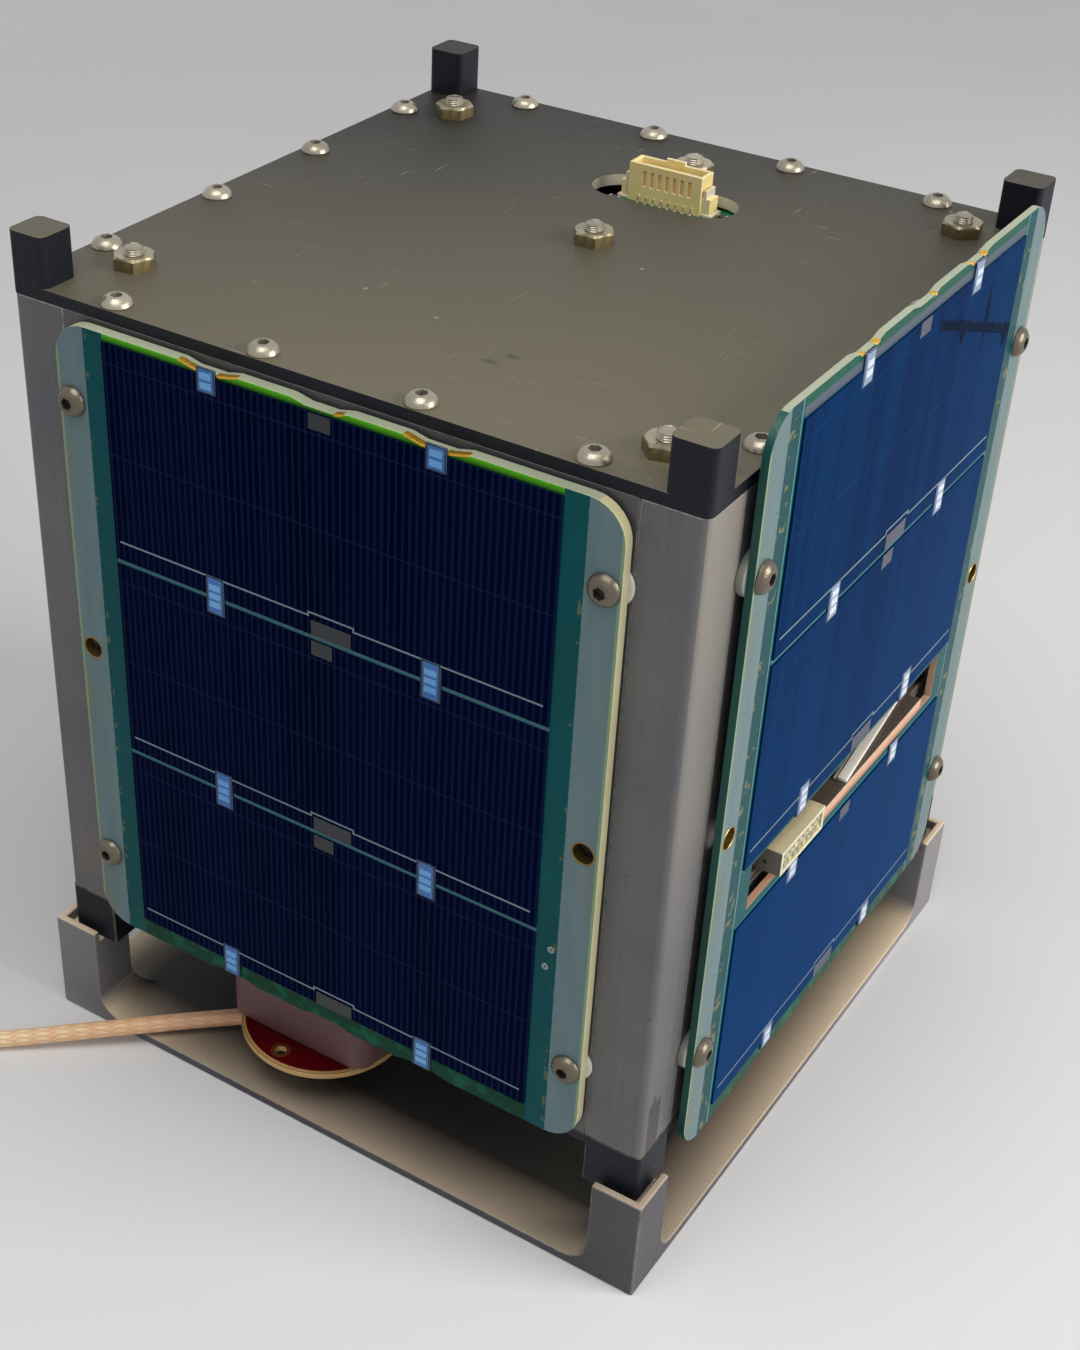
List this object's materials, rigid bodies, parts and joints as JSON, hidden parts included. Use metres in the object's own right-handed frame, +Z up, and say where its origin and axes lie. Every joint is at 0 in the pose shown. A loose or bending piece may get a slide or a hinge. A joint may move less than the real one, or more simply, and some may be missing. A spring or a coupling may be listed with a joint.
{
  "type": "cube satellite on a printed stand",
  "caption": "Small cube satellite with solar boards on its sides, posts and feet at its corners, in a printed cradle, with a cabled antenna board under it.",
  "frame": {"origin": "on the table, under the middle of the satellite and of its cradle", "axes": "+Z up along the rails, -Y out of the front solar board, +X out of the long solar board"},
  "size_m": [0.1577, 0.1366, 0.1292],
  "materials": {
    "cradle_print": "matte layered print",
    "dark_metal": "hard anodised, satin",
    "rail_metal": "milled, satin",
    "grey_metal": "matte",
    "green_board": "solder mask",
    "red_board": "solder mask",
    "cream_plastic": "moulded",
    "block_plastic": "matte",
    "solar_board": "solder mask with tinned strips",
    "solar_cell": "glossy cell with fine grid lines",
    "tab_metal": "bright tinned",
    "washer_plastic": "matte",
    "gold_metal": "gold plated",
    "cable_braid": "braided"
  },
  "bodies": {
    "root": {"cradle": "cradle_print", "top_plate": "dark_metal", "bottom_plate": "dark_metal", "rail_front_left": "rail_metal", "rail_front_right": "rail_metal", "rail_back_left": "rail_metal", "rail_back_right": "rail_metal", "top_board": "green_board", "top_header": "cream_plastic", "top_header_pins": "tab_metal", "service_header_pins": "tab_metal", "service_plate": "grey_metal", "service_header": "cream_plastic", "antenna_block": "block_plastic", "antenna_board": "red_board", "feed_socket": "gold_metal", "feed_cable": "cable_braid", "feed_cable_coil": "cable_braid", "feed_cable_tail": "cable_braid", "plug_body": "gold_metal", "plug_nut": "gold_metal", "side_frame_front": "grey_metal", "solar_board_front": "solar_board", "solar_cells_front": "solar_cell", "cell_tabs_front": "tab_metal", "board_washers_front": "washer_plastic", "side_frame_right": "grey_metal", "solar_board_right": "solar_board", "solar_cells_right": "solar_cell", "cell_tabs_right": "tab_metal", "board_washers_right": "washer_plastic", "side_frame_back": "grey_metal", "solar_board_back": "solar_board", "solar_cells_back": "solar_cell", "cell_tabs_back": "tab_metal", "board_washers_back": "washer_plastic", "side_frame_left": "grey_metal", "solar_board_left": "solar_board", "solar_cells_left": "solar_cell", "cell_tabs_left": "tab_metal", "board_washers_left": "washer_plastic"}
  },
  "joints": []
}
